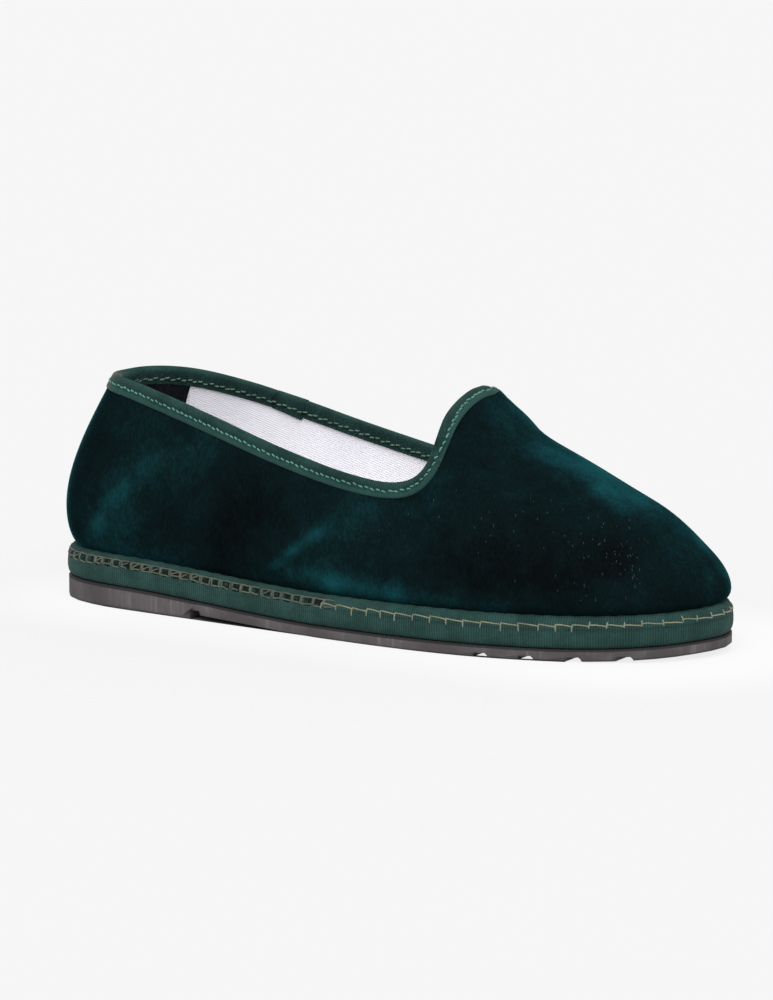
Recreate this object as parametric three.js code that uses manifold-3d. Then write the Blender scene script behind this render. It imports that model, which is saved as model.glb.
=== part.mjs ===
// Friulane slipper for the right foot, in millimetres.
// +X runs from heel to toe, +Y towards the inner side of the foot and +Z up.
// The origin lies on the floor under the middle of the heel seat.

import * as THREE from 'three';
import Module from 'manifold-3d';
import { mergeVertices } from 'three/addons/utils/BufferGeometryUtils.js';

// Driving sizes of the sole
const SOLE_LENGTH = 271;
const HEEL_WIDTH = 64;
const BALL_WIDTH = 94;
const RUBBER_THICKNESS = 4.2;
const HEEL_RISE = 4.1;
const TOE_SPRING = 2.5;
const HEEL_SEAT_LENGTH = 72.5;
const BREAST_STEP = 2;
const BREAST_NOTCH_LENGTH = 5;
const BREAST_NOTCH_DEPTH = 3.6;
const BAND_HEIGHT = 11;
const BAND_BULGE = 0.3;
const BAND_TUCK = 3.9;
const INSOLE_THICKNESS = 2.4;

// Driving sizes of the tread under the forefoot
const GROOVE_COUNT = 4;
const GROOVE_WIDTH = 5.4;
const GROOVE_DEPTH = 1.6;
const GROOVE_CORNER = 0.8;
const GROOVE_PITCH = 16.2;

// Driving sizes of the upper and its binding
const UPPER_WALL = 1.8;
const TAPE_THICKNESS = 0.8;
const BINDING_WIDTH = 5.4;
const QUARTER_HEIGHT = 65.1;
const THROAT_HEIGHT = 73.2;
const THROAT_FROM_HEEL = 174.2;
const COLLAR_SETBACK = 20.3;
const COLLAR_WIDTH = 70.4;
const TOE_BOX_HEIGHT = 33;
const TOE_BOX_LENGTH = 23.5;
const HEEL_ROUNDING = 7.9;
const SIDE_ROUNDING = 4;
const TOE_ROUNDING = 4.4;
const TOE_ROUNDING_REACH = 20;
const THROAT_SLANT = 7;

// Clearance between pieces that touch on the real slipper
const FIT_GAP = 0.3;

// How finely the curved faces are cut
const HALF_COLUMNS = 40;
const FINE_STEPS = 6;
const UPPER_ROWS = 14;
const COLUMNS = 2 * HALF_COLUMNS;

// Outline of the sole, a row for each section. Along is a share of SOLE_LENGTH. Outer and inner are
// shares of half the width there, which grows from HEEL_WIDTH to BALL_WIDTH.
const HEEL_WIDTH_TO = 0.2;
const BALL_WIDTH_FROM = 0.6;
const TOE_TIP = 0.07;
const OUTLINE = [
  { along: 0.03, outer: 0.62, inner: 0.563 },
  { along: 0.09, outer: 0.906, inner: 0.859 },
  { along: 0.20, outer: 1.06, inner: 0.97 },
  { along: 0.35, outer: 1.032, inner: 0.84 },
  { along: 0.50, outer: 1.017, inner: 0.83 },
  { along: 0.62, outer: 0.99, inner: 0.895 },
  { along: 0.73, outer: 0.96, inner: 0.955 },
  { along: 0.83, outer: 0.825, inner: 0.88 },
  { along: 0.91, outer: 0.638, inner: 0.73 },
  { along: 0.965, outer: 0.383, inner: 0.52 },
];

// Where the rubber's heel rise starts and runs out, where the toe starts to lift, where the hollow under
// the arch ends and where the foremost groove lies, as shares of SOLE_LENGTH
const RISE_FROM = 0.11;
const RISE_TO = 0.5;
const SPRING_FROM = 0.8;
const ARCH_TO = 0.48;
const FIRST_GROOVE_AT = 0.912;

// Collar edge from the back of the heel to its lowest point. Along is a share of the way from the
// collar's back to the throat, wide of half COLLAR_WIDTH, high of QUARTER_HEIGHT over the foot line.
const COLLAR = [
  { along: 0, wide: 0, high: 1 },
  { along: 0.0175, wide: 0.256, high: 1.006 },
  { along: 0.0565, wide: 0.472, high: 1.003 },
  { along: 0.128, wide: 0.625, high: 0.988 },
  { along: 0.258, wide: 0.773, high: 0.935 },
  { along: 0.388, wide: 0.858, high: 0.871 },
  { along: 0.550, wide: 0.943, high: 0.784 },
  { along: 0.713, wide: 1, high: 0.70 },
  { along: 0.810, wide: 0.989, high: 0.653 },
  { along: 0.882, wide: 0.932, high: 0.634 },
];

// Throat edge from there up to its peak. Rise is a share of the way from the collar's lowest point
// to THROAT_HEIGHT.
const THROAT = [
  { along: 0.9324, wide: 0.895, rise: 0.056 },
  { along: 0.9695, wide: 0.898, rise: 0.207 },
  { along: 0.9896, wide: 0.875, rise: 0.426 },
  { along: 0.9955, wide: 0.804, rise: 0.614 },
  { along: 0.9910, wide: 0.648, rise: 0.752 },
  { along: 0.9896, wide: 0.384, rise: 0.89 },
  { along: 0.9960, wide: 0.142, rise: 0.984 },
  { along: 1, wide: 0, rise: 1 },
];

// Top line of the vamp. Along is a share of the way from throat to toe box, rise a share of the way
// from TOE_BOX_HEIGHT to THROAT_HEIGHT.
const RIDGE = [
  { along: 0, rise: 1 },
  { along: 0.063, rise: 0.96 },
  { along: 0.122, rise: 0.84 },
  { along: 0.188, rise: 0.708 },
  { along: 0.261, rise: 0.622 },
  { along: 0.349, rise: 0.547 },
  { along: 0.576, rise: 0.361 },
  { along: 0.805, rise: 0.16 },
  { along: 1, rise: 0 },
];

// Front of the toe box. Back is a share of TOE_BOX_LENGTH from the toe tip, high of TOE_BOX_HEIGHT.
const TOE_FRONT = [
  { back: 0.757, high: 0.879 },
  { back: 0.455, high: 0.69 },
  { back: 0.3, high: 0.476 },
  { back: 0.208, high: 0.318 },
  { back: 0.0915, high: 0.155 },
  { back: 0, high: 0 },
];

// How the upper's columns run round the shoe: sole is the share of the way round the sole's half
// outline and rim the share of the way round the half collar.
const COLUMN_LEAN = [
  { sole: 0, rim: 0 },
  { sole: 0.1, rim: 0.085 },
  { sole: 0.35, rim: 0.40 },
  { sole: 0.6, rim: 0.72 },
  { sole: 0.75, rim: 0.86 },
  { sole: 1, rim: 1 },
];

// A run of points that can be asked for a place by share of its length, by distance or by coordinate
class Trace {
  constructor(points) {
    this.points = points;
    this.reach = [0];
    for (let i = 1; i < points.length; i++) {
      this.reach.push(this.reach[i - 1] + points[i].distanceTo(points[i - 1]));
    }
  }

  get length() {
    return this.reach[this.reach.length - 1];
  }

  between(marks, wanted) {
    const rising = marks[marks.length - 1] > marks[0];
    let i = 1;
    while (i < marks.length - 1 && (rising ? marks[i] < wanted : marks[i] > wanted)) i += 1;
    const span = marks[i] - marks[i - 1];
    const share = span === 0 ? 0 : (wanted - marks[i - 1]) / span;
    return this.points[i - 1].clone().lerp(this.points[i], THREE.MathUtils.clamp(share, 0, 1));
  }

  at(share) {
    return this.between(this.reach, share * this.length);
  }

  where(axis, value) {
    return this.between(this.points.map((point) => point[axis]), value);
  }
}

// Reads one column of a table between its rows, as a smooth curve
function reader(table, key, column) {
  const marks = table.map((row) => row[key]);
  const values = table.map((row) => row[column]);
  const curve = new THREE.CubicInterpolant(marks, values, 1);
  return (mark) => curve.evaluate(THREE.MathUtils.clamp(mark, marks[0], marks[marks.length - 1]))[0];
}

function smoothTrace(points, steps) {
  const curve = new THREE.CatmullRomCurve3(points, false, 'centripetal');
  return new Trace(curve.getPoints(steps * (points.length - 1)));
}

// Heights along the sole
function rise(x) {
  return HEEL_RISE * (1 - THREE.MathUtils.smoothstep(x, RISE_FROM * SOLE_LENGTH, RISE_TO * SOLE_LENGTH));
}

function spring(x) {
  const share = (x / SOLE_LENGTH - SPRING_FROM) / (1 - SPRING_FROM);
  return TOE_SPRING * Math.max(0, share) ** 2;
}

const STACK_HEIGHT = BAND_HEIGHT - TAPE_THICKNESS - FIT_GAP;
const rubberTop = (x) => RUBBER_THICKNESS + rise(x) + spring(x);
const bandBase = (x) => rubberTop(x) + FIT_GAP;
const stackTop = (x) => bandBase(x) + STACK_HEIGHT;
const footLine = (x) => stackTop(x) + FIT_GAP;

// Outline of the sole as a closed curve through the table, and its points and outward directions
function halfWidth(along) {
  const share = THREE.MathUtils.clamp((along - HEEL_WIDTH_TO) / (BALL_WIDTH_FROM - HEEL_WIDTH_TO), 0, 1);
  return THREE.MathUtils.lerp(HEEL_WIDTH, BALL_WIDTH, share) / 2;
}

const outlinePoints = [
  new THREE.Vector3(0, 0, 0),
  ...OUTLINE.map((row) => new THREE.Vector3(row.along * SOLE_LENGTH, -row.outer * halfWidth(row.along), 0)),
  new THREE.Vector3(SOLE_LENGTH, TOE_TIP * halfWidth(1), 0),
  ...OUTLINE.toReversed().map(
    (row) => new THREE.Vector3(row.along * SOLE_LENGTH, row.inner * halfWidth(row.along), 0),
  ),
];
const outlineCurve = new THREE.CatmullRomCurve3(outlinePoints, true, 'centripetal');
const TOE_AT = (OUTLINE.length + 1) / outlinePoints.length;

function halfOutline(side) {
  const steps = HALF_COLUMNS * FINE_STEPS;
  const points = [];
  for (let i = 0; i <= steps; i++) {
    const share = (TOE_AT * i) / steps;
    points.push(outlineCurve.getPoint(side < 0 ? share : 1 - ((1 - TOE_AT) * i) / steps));
  }
  return new Trace(points);
}

const outerOutline = halfOutline(-1);
const innerOutline = halfOutline(1);

// A point on the outline: share runs from 0 at the heel over the outer side to 0.5 at the toe and
// back over the inner side to 1
function outlineAt(share) {
  const turn = share - Math.floor(share);
  return turn <= 0.5 ? outerOutline.at(2 * turn) : innerOutline.at(2 * (1 - turn));
}

function outwardAt(share) {
  const step = 0.25 / HALF_COLUMNS;
  const along = outlineAt(share + step).sub(outlineAt(share - step));
  return new THREE.Vector3(along.y, -along.x, 0).normalize();
}

// A loop round the sole that stands out from its outline, at a height that follows x
function soleLoop(out, heightAt, steps = 1) {
  const loop = [];
  for (let i = 0; i < COLUMNS * steps; i++) {
    const share = i / (COLUMNS * steps);
    const point = outlineAt(share).addScaledVector(outwardAt(share), out);
    point.z = heightAt(point.x);
    loop.push(point);
  }
  return loop;
}

// Turns rows of loops into a closed solid: a ring closes its last row on its first, a slab gets a
// cap at each end, woven across from the outer side to the inner
function solidOf(rows, isRing) {
  const positions = rows.flat().flatMap((point) => [point.x, point.y, point.z]);
  const faces = [];
  const quad = (a, b, c, d) => faces.push(a, b, c, a, c, d);
  const rowPairs = isRing ? rows.length : rows.length - 1;
  for (let r = 0; r < rowPairs; r++) {
    const low = r * COLUMNS;
    const high = ((r + 1) % rows.length) * COLUMNS;
    for (let i = 0; i < COLUMNS; i++) {
      const next = (i + 1) % COLUMNS;
      quad(low + i, low + next, high + next, high + i);
    }
  }
  if (!isRing) {
    const top = (rows.length - 1) * COLUMNS;
    for (let i = 0; i < HALF_COLUMNS; i++) {
      const across = (COLUMNS - i) % COLUMNS;
      const ends = [i, across, COLUMNS - i - 1, i + 1];
      addCap(faces, ends, 0);
      addCap(faces, ends.toReversed(), top);
    }
  }
  const geometry = new THREE.BufferGeometry();
  geometry.setAttribute('position', new THREE.Float32BufferAttribute(positions, 3));
  geometry.setIndex(faces);
  return outward(geometry);
}

function addCap(faces, corners, start) {
  const [a, b, c, d] = corners.map((corner) => corner + start);
  if (a !== b) faces.push(a, b, c);
  if (c !== d) faces.push(a, c, d);
}

// Turns every face over if the solid came out inside out
function outward(geometry) {
  const at = geometry.getAttribute('position');
  const index = geometry.getIndex();
  const corner = [0, 1, 2].map(() => new THREE.Vector3());
  let volume = 0;
  for (let i = 0; i < index.count; i += 3) {
    corner.forEach((point, k) => point.fromBufferAttribute(at, index.getX(i + k)));
    volume += corner[0].dot(corner[1].cross(corner[2]));
  }
  if (volume < 0) {
    for (let i = 0; i < index.count; i += 3) {
      const swap = index.getX(i);
      index.setX(i, index.getX(i + 1));
      index.setX(i + 1, swap);
    }
  }
  geometry.computeVertexNormals();
  return geometry;
}

// Outsole: a rubber slab with a raised heel, a step at the heel breast and grooves across the tread
const EDGE_ROUND = 0.6;
const outsoleSlab = solidOf([
  soleLoop(-EDGE_ROUND, spring),
  soleLoop(0, (x) => spring(x) + EDGE_ROUND),
  soleLoop(0, (x) => rubberTop(x) - EDGE_ROUND),
  soleLoop(-EDGE_ROUND, rubberTop),
], false);

const wasm = await Module();
wasm.setup();

const MERGE_DISTANCE = 1e-4;

function toManifold(geometry) {
  const bare = geometry.clone();
  bare.deleteAttribute('normal');
  bare.deleteAttribute('uv');
  const merged = mergeVertices(bare, MERGE_DISTANCE);
  return new wasm.Manifold(new wasm.Mesh({
    numProp: 3,
    vertProperties: new Float32Array(merged.getAttribute('position').array),
    triVerts: new Uint32Array(merged.getIndex().array),
  }));
}

function fromManifold(manifold) {
  const mesh = manifold.getMesh();
  const geometry = new THREE.BufferGeometry();
  geometry.setAttribute('position', new THREE.Float32BufferAttribute(mesh.vertProperties, 3));
  geometry.setIndex(Array.from(mesh.triVerts));
  geometry.computeVertexNormals();
  return geometry;
}

// A cutter whose side view is the given list of [x, z] corners and which reaches right across the sole
function crossCutter(corners) {
  const side = new THREE.Shape(corners.map(([x, z]) => new THREE.Vector2(x, z)));
  const reach = 2 * BALL_WIDTH;
  const cutter = new THREE.ExtrudeGeometry(side, { depth: reach, bevelEnabled: false });
  return cutter.rotateX(Math.PI / 2).translate(0, reach / 2, 0);
}

function treadGrooves() {
  const cutters = [];
  for (let i = 0; i < GROOVE_COUNT; i++) {
    const x = FIRST_GROOVE_AT * SOLE_LENGTH - i * GROOVE_PITCH;
    const back = x - GROOVE_WIDTH / 2;
    const front = x + GROOVE_WIDTH / 2;
    const roof = spring(x) + GROOVE_DEPTH;
    const under = -TOE_SPRING;
    cutters.push(crossCutter([
      [back, under],
      [front, under],
      [front, roof - GROOVE_CORNER],
      [front - GROOVE_CORNER, roof],
      [back + GROOVE_CORNER, roof],
      [back, roof - GROOVE_CORNER],
    ]));
  }
  return cutters;
}

const notchEnd = HEEL_SEAT_LENGTH + BREAST_NOTCH_LENGTH;
const archCutter = crossCutter([
  [HEEL_SEAT_LENGTH, -BREAST_STEP],
  [ARCH_TO * SOLE_LENGTH, -BREAST_STEP],
  [ARCH_TO * SOLE_LENGTH, 0],
  [notchEnd, BREAST_STEP],
  [notchEnd - EDGE_ROUND, BREAST_NOTCH_DEPTH],
  [HEEL_SEAT_LENGTH, BREAST_NOTCH_DEPTH],
]);
const outsoleSolid = [archCutter, ...treadGrooves()].reduce(
  (solid, cutter) => solid.subtract(toManifold(cutter)),
  toManifold(outsoleSlab),
);
const outsole = fromManifold(outsoleSolid);

// Sole band: a tape rolled round the edge of the stack, outside first and then back down inside. Out is
// measured from the sole's outline, up is a share of BAND_HEIGHT.
const BAND_FOOT_INSET = 1.2;
const BAND_WIDEST_UP = 0.42;
const BAND_CORNER_INSET = 2.1;
const BAND_CORNER_DROP = 0.5;
const BAND_PROFILE = [
  { out: -BAND_FOOT_INSET, up: 0 },
  { out: 0, up: 0.13 },
  { out: BAND_BULGE, up: BAND_WIDEST_UP },
  { out: -BAND_BULGE / 3, up: 0.72 },
  { out: -BAND_FOOT_INSET, up: 0.93 },
  { out: -BAND_CORNER_INSET - BAND_CORNER_DROP, up: 1 },
  { out: -BAND_TUCK, up: 1 },
  { out: -BAND_TUCK, up: 1 - TAPE_THICKNESS / BAND_HEIGHT },
  { out: -BAND_CORNER_INSET, up: 1 - (TAPE_THICKNESS + BAND_CORNER_DROP) / BAND_HEIGHT },
  { out: BAND_BULGE - TAPE_THICKNESS, up: BAND_WIDEST_UP },
  { out: -BAND_FOOT_INSET - TAPE_THICKNESS, up: 0 },
];
const soleBand = solidOf(BAND_PROFILE.map(({ out, up }) =>
  soleLoop(out, (x) => bandBase(x) + up * BAND_HEIGHT)), true);

// Midsole: layers of cloth quilted into a stack that fills the band
const midsole = solidOf([
  soleLoop(-BAND_FOOT_INSET - TAPE_THICKNESS - FIT_GAP, bandBase),
  soleLoop(BAND_BULGE - TAPE_THICKNESS - FIT_GAP, (x) => bandBase(x) + BAND_WIDEST_UP * BAND_HEIGHT),
  soleLoop(-BAND_CORNER_INSET - 2 * FIT_GAP, (x) => stackTop(x) - BAND_CORNER_DROP - FIT_GAP),
  soleLoop(-BAND_TUCK, stackTop),
], false);

// Upper: the collar and throat edge, the top line of the vamp, and columns from the sole to the edge
function collarPoint(row, high) {
  const x = THREE.MathUtils.lerp(COLLAR_SETBACK, THROAT_FROM_HEEL, row.along);
  return new THREE.Vector3(x, -row.wide * COLLAR_WIDTH / 2, footLine(x) + high);
}

const COLLAR_LOW = COLLAR[COLLAR.length - 1].high * QUARTER_HEIGHT;
const rimHalf = smoothTrace([
  ...COLLAR.map((row) => collarPoint(row, row.high * QUARTER_HEIGHT)),
  ...THROAT.map((row) => collarPoint(row, THREE.MathUtils.lerp(COLLAR_LOW, THROAT_HEIGHT, row.rise))),
], FINE_STEPS * 2);

const FOOT_INSET = BAND_TUCK + FIT_GAP;
const footLoop = soleLoop(-FOOT_INSET, footLine, FINE_STEPS);
const toeIndex = HALF_COLUMNS * FINE_STEPS;
const outerFoot = new Trace(footLoop.slice(0, toeIndex + 1));
const innerFoot = new Trace([footLoop[0], ...footLoop.slice(toeIndex).toReversed()]);
const toeTip = footLoop[toeIndex];

const toeBoxStart = toeTip.x - TOE_BOX_LENGTH;
const ridge = smoothTrace([
  ...RIDGE.map((row) => {
    const x = THREE.MathUtils.lerp(THROAT_FROM_HEEL, toeBoxStart, row.along);
    return new THREE.Vector3(x, 0, THREE.MathUtils.lerp(TOE_BOX_HEIGHT, THROAT_HEIGHT, row.rise));
  }),
  ...TOE_FRONT.map((row) =>
    new THREE.Vector3(toeTip.x - row.back * TOE_BOX_LENGTH, 0, row.high * TOE_BOX_HEIGHT)),
], FINE_STEPS * 2);

// Height of the last over its foot line at a place inside the foot line, from sections that are
// arches as wide as the foot line and as high as the ridge
const ARCH_POWER_THROAT = 2;
const ARCH_POWER_TOE = 2.05;

function lastHeight(place) {
  const toToe = THREE.MathUtils.clamp(
    (place.x - THROAT_FROM_HEEL) / (toeTip.x - THROAT_FROM_HEEL), 0, 1);
  const middle = toToe * toeTip.y;
  const foot = place.y < middle ? outerFoot : innerFoot;
  const edge = foot.where('x', place.x).y;
  const span = Math.abs(edge - middle);
  const off = span === 0 ? 0 : THREE.MathUtils.clamp(Math.abs(place.y - middle) / span, 0, 1);
  const power = THREE.MathUtils.lerp(ARCH_POWER_THROAT, ARCH_POWER_TOE, toToe);
  const top = ridge.where('x', Math.max(place.x, THROAT_FROM_HEEL)).z;
  return top * (1 - off ** power) ** (1 / power);
}

// One column of the upper's outer face, from the neck just over the band to the rim
const neckLine = (x) => bandBase(x) + BAND_HEIGHT + FIT_GAP;
const PROFILE_STEPS = 60;
const WALL_LEAN = 1.15;
const VAMP_LEAN = 2.2;
const ROW_CROWDING = 1.3;
const SIDE_ROUNDING_POWER = 0.72;
const TOE_ROUNDING_POWER = 0.5;
const VAMP_FROM = 0.5;
const VAMP_TO = 0.66;
const SLANT_FROM = 0.8;
const HEEL_ROUND_FROM = 0.08;
const HEEL_ROUND_TO = 0.3;
const TOE_ROUND_FROM = 0.72;
const TOE_ROUND_TO = 0.97;
const rimShare = reader(COLUMN_LEAN, 'sole', 'rim');
const atToe = (round) => THREE.MathUtils.smoothstep(round, TOE_ROUND_FROM, TOE_ROUND_TO);

function rounding(round) {
  const back = 1 - THREE.MathUtils.smoothstep(round, HEEL_ROUND_FROM, HEEL_ROUND_TO);
  const front = atToe(round);
  return SIDE_ROUNDING + back * (HEEL_ROUNDING - SIDE_ROUNDING) + front * (TOE_ROUNDING - SIDE_ROUNDING);
}

function upperColumn(share) {
  const turn = share - Math.floor(share);
  const round = turn <= 0.5 ? 2 * turn : 2 * (1 - turn);
  const side = turn <= 0.5 ? 1 : -1;
  const out = outwardAt(share);
  const foot = outlineAt(share).addScaledVector(out, -FOOT_INSET);
  foot.z = neckLine(foot.x);
  const rim = rimHalf.at(rimShare(round));
  const throat = THREE.MathUtils.smoothstep(rim.x, SLANT_FROM * THROAT_FROM_HEEL, THROAT_FROM_HEEL);
  if (side < 0) rim.x -= THROAT_SLANT * throat * Math.abs(rim.y) / (COLLAR_WIDTH / 2);
  rim.y *= side;
  const vamp = THREE.MathUtils.smoothstep(round, VAMP_FROM, VAMP_TO);
  const rimHeight = lastHeight(rim);
  const vampReach = THREE.MathUtils.lerp(TOE_BOX_HEIGHT, TOE_ROUNDING_REACH, atToe(round));
  const roundingReach = THREE.MathUtils.lerp(rim.z - foot.z, vampReach, vamp);
  const roundingPower = THREE.MathUtils.lerp(SIDE_ROUNDING_POWER, TOE_ROUNDING_POWER, atToe(round));
  const points = [];
  for (let i = 0; i <= PROFILE_STEPS; i++) {
    const step = i / PROFILE_STEPS;
    const inVamp = step ** VAMP_LEAN;
    const place = foot.clone().lerp(rim, inVamp);
    const upVamp = rimHeight > 0 ? lastHeight(place) / rimHeight : step;
    const inside = THREE.MathUtils.lerp(step ** WALL_LEAN, inVamp, vamp);
    const up = THREE.MathUtils.lerp(step, upVamp, vamp);
    const point = foot.clone().lerp(rim, inside);
    point.z = THREE.MathUtils.lerp(foot.z, rim.z, up);
    const reach = THREE.MathUtils.clamp((point.z - foot.z) / roundingReach, 0, 1);
    const bulge = rounding(round) * Math.sin(Math.PI * reach ** roundingPower);
    points.push(point.addScaledVector(out, bulge));
  }
  return new Trace(points);
}

const columns = [];
for (let i = 0; i < COLUMNS; i++) columns.push(upperColumn(i / COLUMNS));

// Outward directions over a grid of rows of loops on the upper's face
function facing(grid) {
  return grid.map((row, r) => row.map((_, i) => {
    const above = grid[Math.min(r + 1, grid.length - 1)][i];
    const below = grid[Math.max(r - 1, 0)][i];
    const next = row[(i + 1) % COLUMNS];
    const before = row[(i + COLUMNS - 1) % COLUMNS];
    const round = next.clone().sub(before);
    return round.cross(above.clone().sub(below)).normalize();
  }));
}

const outerFace = [soleLoop(-FOOT_INSET, footLine)];
for (let r = 0; r < UPPER_ROWS; r++) {
  const climb = (r / (UPPER_ROWS - 1)) ** ROW_CROWDING;
  outerFace.push(columns.map((column) => column.at(climb * (1 - BINDING_WIDTH / column.length))));
}
outerFace.push(columns.map((column) => column.at(1 - BINDING_WIDTH / 2 / column.length)));
outerFace.push(columns.map((column) => column.at(1)));
const outerFacing = facing(outerFace);
const innerFace = outerFace.map((row, r) => row.map((point, i) =>
  point.clone().addScaledVector(outerFacing[r][i], -UPPER_WALL)));
innerFace[0].forEach((point, i) => {
  point.z = outerFace[0][i].z;
});
const upper = solidOf([...outerFace, ...innerFace.toReversed()], true);

// Collar binding: a tape folded over the rim. Out is measured from the outer face and up from the
// rim, and row counts half widths of the tape down from it.
const TAPE_OUT = FIT_GAP + TAPE_THICKNESS;
const TAPE_IN = -UPPER_WALL - TAPE_OUT;
const FOLD_ROUND = 0.5;
const BINDING_PROFILE = [
  { out: TAPE_OUT, row: 2, up: 0 },
  { out: TAPE_OUT, row: 1, up: 0 },
  { out: TAPE_OUT, row: 0, up: 0 },
  { out: TAPE_OUT - FOLD_ROUND, row: 0, up: TAPE_OUT - FOLD_ROUND / 2 },
  { out: -UPPER_WALL / 2, row: 0, up: TAPE_OUT },
  { out: TAPE_IN + FOLD_ROUND, row: 0, up: TAPE_OUT - FOLD_ROUND / 2 },
  { out: TAPE_IN, row: 0, up: 0 },
  { out: TAPE_IN, row: 1, up: 0 },
  { out: TAPE_IN, row: 2, up: 0 },
  { out: -UPPER_WALL - FIT_GAP, row: 2, up: 0 },
  { out: -UPPER_WALL - FIT_GAP, row: 1, up: 0 },
  { out: -UPPER_WALL - FIT_GAP, row: 0, up: FIT_GAP },
  { out: FIT_GAP, row: 0, up: FIT_GAP },
  { out: FIT_GAP, row: 1, up: 0 },
  { out: FIT_GAP, row: 2, up: 0 },
];
const rimRow = outerFace.length - 1;
const rimUp = outerFace[rimRow].map((point, i) => point.clone().sub(outerFace[rimRow - 1][i]).normalize());
const collarBinding = solidOf(BINDING_PROFILE.map(({ out, row, up }) =>
  outerFace[rimRow - row].map((point, i) => point.clone()
    .addScaledVector(outerFacing[rimRow - row][i], out)
    .addScaledVector(rimUp[i], up))), true);

// Insole: a thin footbed that lies on the stack inside the upper
const INSOLE_INSET = FOOT_INSET + UPPER_WALL + 2 * FIT_GAP;
const insole = solidOf([
  soleLoop(-INSOLE_INSET, footLine),
  soleLoop(-INSOLE_INSET, (x) => footLine(x) + INSOLE_THICKNESS - EDGE_ROUND),
  soleLoop(-INSOLE_INSET - EDGE_ROUND, (x) => footLine(x) + INSOLE_THICKNESS),
], false);

// Materials
const rubber = new THREE.MeshStandardMaterial({ color: 0x4a4344, roughness: 0.75, metalness: 0 });
const cloth = new THREE.MeshStandardMaterial({ color: 0xcfc8b8, roughness: 0.95, metalness: 0 });
const greenTape = new THREE.MeshStandardMaterial({ color: 0x1f4a43, roughness: 0.85, metalness: 0 });
const velvet = new THREE.MeshStandardMaterial({ color: 0x05282b, roughness: 0.95, metalness: 0 });
const whiteCotton = new THREE.MeshStandardMaterial({ color: 0xe6e3ea, roughness: 0.95, metalness: 0 });

const slipper = new THREE.Group();
slipper.position.x = -HEEL_SEAT_LENGTH / 2;

function addPiece(name, geometry, material) {
  const piece = new THREE.Mesh(geometry, material);
  piece.name = name;
  slipper.add(piece);
}

addPiece('outsole', outsole, rubber);
addPiece('midsole', midsole, cloth);
addPiece('sole_band', soleBand, greenTape);
addPiece('upper', upper, velvet);
addPiece('collar_binding', collarBinding, greenTape.clone());
addPiece('insole', insole, whiteCotton);

export default slipper;
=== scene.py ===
import math
import random

import bpy
import numpy as np
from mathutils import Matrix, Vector
from mathutils.bvhtree import BVHTree
from mathutils.geometry import convex_hull_2d


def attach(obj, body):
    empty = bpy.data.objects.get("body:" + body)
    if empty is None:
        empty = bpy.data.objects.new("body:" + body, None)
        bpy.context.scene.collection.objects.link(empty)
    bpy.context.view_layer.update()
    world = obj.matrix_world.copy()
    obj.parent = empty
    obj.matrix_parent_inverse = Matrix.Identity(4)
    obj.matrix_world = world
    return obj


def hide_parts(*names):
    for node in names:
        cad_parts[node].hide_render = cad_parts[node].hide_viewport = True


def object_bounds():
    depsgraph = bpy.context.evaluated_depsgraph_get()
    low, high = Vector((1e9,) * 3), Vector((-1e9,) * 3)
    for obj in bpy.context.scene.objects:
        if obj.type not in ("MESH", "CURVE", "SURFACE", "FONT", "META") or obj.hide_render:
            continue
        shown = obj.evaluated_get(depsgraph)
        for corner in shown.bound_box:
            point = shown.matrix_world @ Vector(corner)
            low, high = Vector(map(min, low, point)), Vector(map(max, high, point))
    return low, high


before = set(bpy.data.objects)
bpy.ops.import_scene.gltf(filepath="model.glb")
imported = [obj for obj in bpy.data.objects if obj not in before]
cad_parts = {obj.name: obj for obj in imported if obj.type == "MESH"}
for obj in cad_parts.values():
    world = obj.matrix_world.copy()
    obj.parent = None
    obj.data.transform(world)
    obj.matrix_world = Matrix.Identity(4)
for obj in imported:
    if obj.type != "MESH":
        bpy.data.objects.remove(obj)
cad_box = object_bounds()


# Outsole
# A slab of old tyre rubber, cut to the outline of the last, with a heel lift and a few shallow grooves.
# Its side was buffed upright on a wheel, so it carries faint upright scuffs.
MM = 0.001
MERGE_GAP = 0.02 * MM
BEVEL_ANGLE = 35


class Level:
    """A value that changes over a surface. Sums on it add Math nodes."""

    def __init__(self, finish, socket):
        self.finish = finish
        self.socket = socket

    def __add__(self, other):
        return self.finish.math("ADD", self, other)

    def __sub__(self, other):
        return self.finish.math("SUBTRACT", self, other)

    def __rsub__(self, other):
        return self.finish.math("SUBTRACT", other, self)

    def __mul__(self, other):
        return self.finish.math("MULTIPLY", self, other)

    def __pow__(self, other):
        return self.finish.math("POWER", self, other)

    def wave(self, length):
        """A wave between 0 and 1 that repeats over this length."""
        return self.finish.math("SINE", self * (2 * math.pi / length)) * 0.5 + 0.5

    def held(self, low, high):
        """The value itself, but no lower than low and no higher than high."""
        return self.finish.math("MINIMUM", self.finish.math("MAXIMUM", self, low), high)

    def between(self, low, high):
        """0 below low, 1 above high and a soft step from one to the other."""
        inputs = {"Value": self, "From Min": low, "From Max": high}
        return self.finish.add("ShaderNodeMapRange", {"interpolation_type": "SMOOTHSTEP"}, inputs)


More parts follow.
